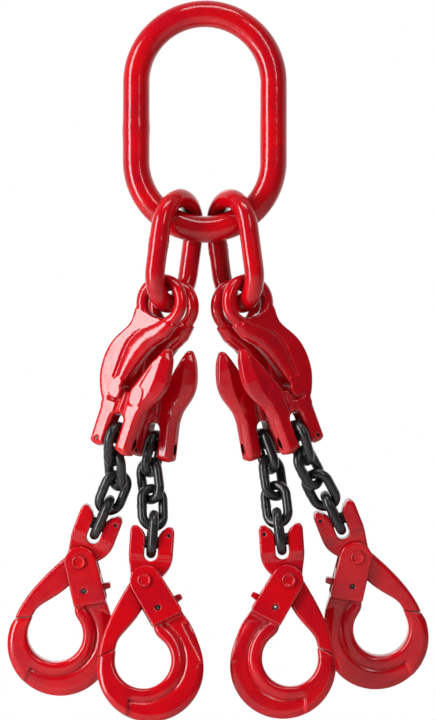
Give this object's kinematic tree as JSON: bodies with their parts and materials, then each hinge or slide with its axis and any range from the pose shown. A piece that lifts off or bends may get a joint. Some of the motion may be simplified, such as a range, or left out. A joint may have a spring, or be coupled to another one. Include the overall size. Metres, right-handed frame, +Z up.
{
  "type": "four leg chain sling",
  "caption": "Red forged lifting sling: an oblong master link, sub-links, shortening clutches, black chains and self-locking hooks hanging spread.",
  "frame": {"origin": "inner crown of the master link, where the crane hook bears", "axes": "+Z up along the hanging sling, -Y the front face, +X to the viewer's right"},
  "size_m": [0.3483, 0.0818, 0.5877],
  "materials": {
    "red_paint": "gloss",
    "black_chain": "satin",
    "steel_pin": "satin"
  },
  "bodies": {
    "master": {"master_link": "red_paint"},
    "sub_left": {"sub_link_left": "red_paint"},
    "sub_right": {"sub_link_right": "red_paint"},
    "outer_left_clutch": {"outer_left_clutch_body": "red_paint", "outer_left_clutch_load_pin": "steel_pin", "outer_left_clutch_retaining_pin": "steel_pin"},
    "outer_left_chain_1": {"outer_left_chain_link_1": "black_chain"},
    "outer_left_chain_2": {"outer_left_chain_link_2": "black_chain"},
    "outer_left_chain_3": {"outer_left_chain_link_3": "black_chain"},
    "outer_left_chain_4": {"outer_left_chain_link_4": "black_chain"},
    "outer_left_hook": {"outer_left_hook_body": "red_paint", "outer_left_hook_load_pin": "steel_pin"},
    "outer_left_bowl": {"outer_left_hook_bowl": "red_paint", "outer_left_pivot_rivet": "red_paint", "outer_left_trigger_pin": "steel_pin", "outer_left_trigger_spring": "steel_pin"},
    "outer_left_trigger": {"outer_left_trigger": "red_paint"},
    "inner_left_clutch": {"inner_left_clutch_body": "red_paint", "inner_left_clutch_load_pin": "steel_pin", "inner_left_clutch_retaining_pin": "steel_pin"},
    "inner_left_chain_1": {"inner_left_chain_link_1": "black_chain"},
    "inner_left_chain_2": {"inner_left_chain_link_2": "black_chain"},
    "inner_left_chain_3": {"inner_left_chain_link_3": "black_chain"},
    "inner_left_chain_4": {"inner_left_chain_link_4": "black_chain"},
    "inner_left_hook": {"inner_left_hook_body": "red_paint", "inner_left_hook_load_pin": "steel_pin"},
    "inner_left_bowl": {"inner_left_hook_bowl": "red_paint", "inner_left_pivot_rivet": "red_paint", "inner_left_trigger_pin": "steel_pin", "inner_left_trigger_spring": "steel_pin"},
    "inner_left_trigger": {"inner_left_trigger": "red_paint"},
    "inner_right_clutch": {"inner_right_clutch_body": "red_paint", "inner_right_clutch_load_pin": "steel_pin", "inner_right_clutch_retaining_pin": "steel_pin"},
    "inner_right_chain_1": {"inner_right_chain_link_1": "black_chain"},
    "inner_right_chain_2": {"inner_right_chain_link_2": "black_chain"},
    "inner_right_chain_3": {"inner_right_chain_link_3": "black_chain"},
    "inner_right_chain_4": {"inner_right_chain_link_4": "black_chain"},
    "inner_right_hook": {"inner_right_hook_body": "red_paint", "inner_right_hook_load_pin": "steel_pin"},
    "inner_right_bowl": {"inner_right_hook_bowl": "red_paint", "inner_right_pivot_rivet": "red_paint", "inner_right_trigger_pin": "steel_pin", "inner_right_trigger_spring": "steel_pin"},
    "inner_right_trigger": {"inner_right_trigger": "red_paint"},
    "outer_right_clutch": {"outer_right_clutch_body": "red_paint", "outer_right_clutch_load_pin": "steel_pin", "outer_right_clutch_retaining_pin": "steel_pin"},
    "outer_right_chain_1": {"outer_right_chain_link_1": "black_chain"},
    "outer_right_chain_2": {"outer_right_chain_link_2": "black_chain"},
    "outer_right_chain_3": {"outer_right_chain_link_3": "black_chain"},
    "outer_right_chain_4": {"outer_right_chain_link_4": "black_chain"},
    "outer_right_hook": {"outer_right_hook_body": "red_paint", "outer_right_hook_load_pin": "steel_pin"},
    "outer_right_bowl": {"outer_right_hook_bowl": "red_paint", "outer_right_pivot_rivet": "red_paint", "outer_right_trigger_pin": "steel_pin", "outer_right_trigger_spring": "steel_pin"},
    "outer_right_trigger": {"outer_right_trigger": "red_paint"}
  },
  "joints": [
    {"name": "sub_link_left_swing", "type": "hinge", "parent": "master", "child": "sub_left", "pos_m": [-0.02926, 0, -0.15675], "axis": [-0.8526, 0, 0.5226], "range_deg": [-3, 12]},
    {"name": "sub_link_right_swing", "type": "hinge", "parent": "master", "child": "sub_right", "pos_m": [0.02926, 0, -0.15675], "axis": [-0.8526, 0, -0.5226], "range_deg": [-3, 12]},
    {"name": "outer_left_clutch_swing", "type": "hinge", "parent": "sub_left", "child": "outer_left_clutch", "pos_m": [-0.03494, -0.01149, -0.22258], "axis": [0.4833, 0.8727, -0.0698], "range_deg": [0, 25]},
    {"name": "outer_left_chain_1_swing", "type": "hinge", "parent": "outer_left_clutch", "child": "outer_left_chain_1", "pos_m": [-0.07276, 0.00052, -0.33461], "axis": [-0.8199, 0.4792, 0.3132], "range_deg": [-2, 4]},
    {"name": "outer_left_chain_2_swing", "type": "hinge", "parent": "outer_left_chain_1", "child": "outer_left_chain_2", "pos_m": [-0.07365, 0.01186, -0.35426], "axis": [0.5711, 0.722, 0.3906], "range_deg": [-3, 12]},
    {"name": "outer_left_chain_3_swing", "type": "hinge", "parent": "outer_left_chain_2", "child": "outer_left_chain_3", "pos_m": [-0.07302, 0.02156, -0.37478], "axis": [-0.5588, 0.755, 0.343], "range_deg": [-1.5, 2]},
    {"name": "outer_left_chain_4_swing", "type": "hinge", "parent": "outer_left_chain_3", "child": "outer_left_chain_4", "pos_m": [-0.0815, 0.02515, -0.39524], "axis": [-0.8585, -0.4304, 0.2787], "range_deg": [-10, 5]},
    {"name": "outer_left_hook_swing", "type": "hinge", "parent": "outer_left_chain_4", "child": "outer_left_hook", "pos_m": [-0.08781, 0.02581, -0.407], "axis": [-0.9323, 0, 0.3616], "range_deg": [-22, 5]},
    {"name": "outer_left_bowl_open", "type": "hinge", "parent": "outer_left_hook", "child": "outer_left_bowl", "pos_m": [-0.10332, 0.02756, -0.43676], "axis": [-0.0189, -0.9986, -0.0488], "range_deg": [0, 22]},
    {"name": "outer_left_trigger_press", "type": "hinge", "parent": "outer_left_bowl", "child": "outer_left_trigger", "pos_m": [-0.09936, 0.02867, -0.46111], "axis": [0.0189, 0.9986, 0.0488], "range_deg": [0, 8], "stiffness_Nm_per_rad": 0.3, "springref_deg": -2.86, "deforming": ["outer_left_trigger_spring"]},
    {"name": "inner_left_clutch_swing", "type": "hinge", "parent": "sub_left", "child": "inner_left_clutch", "pos_m": [-0.02498, 0.00649, -0.2239], "axis": [0.4833, 0.8727, 0.0698], "range_deg": [-1, 2]},
    {"name": "inner_left_chain_1_swing", "type": "hinge", "parent": "inner_left_clutch", "child": "inner_left_chain_1", "pos_m": [-0.04098, 0.02435, -0.34224], "axis": [-0.8678, 0.4671, 0.1698], "range_deg": [-4, 14]},
    {"name": "inner_left_chain_2_swing", "type": "hinge", "parent": "inner_left_chain_1", "child": "inner_left_chain_2", "pos_m": [-0.0457, 0.02365, -0.36443], "axis": [0.4513, 0.8837, -0.1242], "range_deg": [-3, 3]},
    {"name": "inner_left_chain_3_swing", "type": "hinge", "parent": "inner_left_chain_2", "child": "inner_left_chain_3", "pos_m": [-0.04292, 0.01821, -0.38605], "axis": [-0.7215, 0.6449, -0.2521], "range_deg": [-3, 3]},
    {"name": "inner_left_chain_4_swing", "type": "hinge", "parent": "inner_left_chain_3", "child": "inner_left_chain_4", "pos_m": [-0.04241, 0.01228, -0.40804], "axis": [-0.9021, -0.4226, 0.0872], "range_deg": [-3, 20]},
    {"name": "inner_left_hook_swing", "type": "hinge", "parent": "inner_left_chain_4", "child": "inner_left_hook", "pos_m": [-0.04345, 0.01095, -0.42088], "axis": [-0.9978, 0, 0.0663], "range_deg": [-5, 40]},
    {"name": "inner_left_bowl_open", "type": "hinge", "parent": "inner_left_hook", "child": "inner_left_bowl", "pos_m": [-0.04931, 0.00401, -0.45324], "axis": [0.0138, -0.9781, 0.2075], "range_deg": [0, 22]},
    {"name": "inner_left_trigger_press", "type": "hinge", "parent": "inner_left_bowl", "child": "inner_left_trigger", "pos_m": [-0.03822, -0.00042, -0.47486], "axis": [-0.0138, 0.9781, -0.2075], "range_deg": [0, 8], "stiffness_Nm_per_rad": 0.3, "springref_deg": -2.86, "deforming": ["inner_left_trigger_spring"]},
    {"name": "inner_right_clutch_swing", "type": "hinge", "parent": "sub_right", "child": "inner_right_clutch", "pos_m": [0.02498, 0.00649, -0.2239], "axis": [-0.4833, 0.8727, 0.0698], "range_deg": [-2, 3]},
    {"name": "inner_right_chain_1_swing", "type": "hinge", "parent": "inner_right_clutch", "child": "inner_right_chain_1", "pos_m": [0.04752, 0.02784, -0.34057], "axis": [-0.8585, -0.4569, -0.2329], "range_deg": [-5, 8]},
    {"name": "inner_right_chain_2_swing", "type": "hinge", "parent": "inner_right_chain_1", "child": "inner_right_chain_2", "pos_m": [0.05519, 0.02416, -0.36161], "axis": [-0.3857, 0.8746, -0.2938], "range_deg": [-3, 3]},
    {"name": "inner_right_chain_3_swing", "type": "hinge", "parent": "inner_right_chain_2", "child": "inner_right_chain_3", "pos_m": [0.05815, 0.01872, -0.38351], "axis": [0.7463, 0.6624, -0.0655], "range_deg": [-3, 3]},
    {"name": "inner_right_chain_4_swing", "type": "hinge", "parent": "inner_right_chain_3", "child": "inner_right_chain_4", "pos_m": [0.06073, 0.01299, -0.4055], "axis": [-0.8852, 0.4133, -0.2134], "range_deg": [-3, 20]},
    {"name": "inner_right_hook_swing", "type": "hinge", "parent": "inner_right_chain_4", "child": "inner_right_hook", "pos_m": [0.06269, 0.01177, -0.41835], "axis": [-0.9976, 0, -0.0698], "range_deg": [-5, 25]},
    {"name": "inner_right_bowl_open", "type": "hinge", "parent": "inner_right_hook", "child": "inner_right_bowl", "pos_m": [0.06871, 0.01119, -0.45141], "axis": [0.0012, 0.9998, -0.0174], "range_deg": [0, 22]},
    {"name": "inner_right_trigger_press", "type": "hinge", "parent": "inner_right_bowl", "child": "inner_right_trigger", "pos_m": [0.05772, 0.01081, -0.47353], "axis": [-0.0012, -0.9998, 0.0174], "range_deg": [0, 8], "stiffness_Nm_per_rad": 0.3, "springref_deg": -2.86, "deforming": ["inner_right_trigger_spring"]},
    {"name": "outer_right_clutch_swing", "type": "hinge", "parent": "sub_right", "child": "outer_right_clutch", "pos_m": [0.03494, -0.01149, -0.22258], "axis": [-0.4833, 0.8727, -0.0698], "range_deg": [-25, 0]},
    {"name": "outer_right_chain_1_swing", "type": "hinge", "parent": "outer_right_clutch", "child": "outer_right_chain_1", "pos_m": [0.07635, 0.00264, -0.33304], "axis": [-0.8075, -0.4752, -0.3494], "range_deg": [-14, 5]},
    {"name": "outer_right_chain_2_swing", "type": "hinge", "parent": "outer_right_chain_1", "child": "outer_right_chain_2", "pos_m": [0.08248, 0.00782, -0.35427], "axis": [-0.5243, 0.8497, 0.0561], "range_deg": [-2, 3]},
    {"name": "outer_right_chain_3_swing", "type": "hinge", "parent": "outer_right_chain_2", "child": "outer_right_chain_3", "pos_m": [0.09227, 0.0157, -0.37263], "axis": [0.4933, 0.6744, 0.5494], "range_deg": [-7, 1.5]},
    {"name": "outer_right_chain_4_swing", "type": "hinge", "parent": "outer_right_chain_3", "child": "outer_right_chain_4", "pos_m": [0.10244, 0.02371, -0.3915], "axis": [-0.8781, 0.3526, -0.3233], "range_deg": [-14, 5]},
    {"name": "outer_right_hook_swing", "type": "hinge", "parent": "outer_right_chain_4", "child": "outer_right_hook", "pos_m": [0.10925, 0.02476, -0.403], "axis": [-0.9298, 0, -0.3681], "range_deg": [-13, 5]},
    {"name": "outer_right_bowl_open", "type": "hinge", "parent": "outer_right_hook", "child": "outer_right_bowl", "pos_m": [0.12492, 0.02825, -0.43252], "axis": [-0.0385, 0.9945, 0.0972], "range_deg": [0, 22]},
    {"name": "outer_right_trigger_press", "type": "hinge", "parent": "outer_right_bowl", "child": "outer_right_trigger", "pos_m": [0.1211, 0.03048, -0.45682], "axis": [0.0385, -0.9945, -0.0972], "range_deg": [0, 8], "stiffness_Nm_per_rad": 0.3, "springref_deg": -2.86, "deforming": ["outer_right_trigger_spring"]}
  ]
}
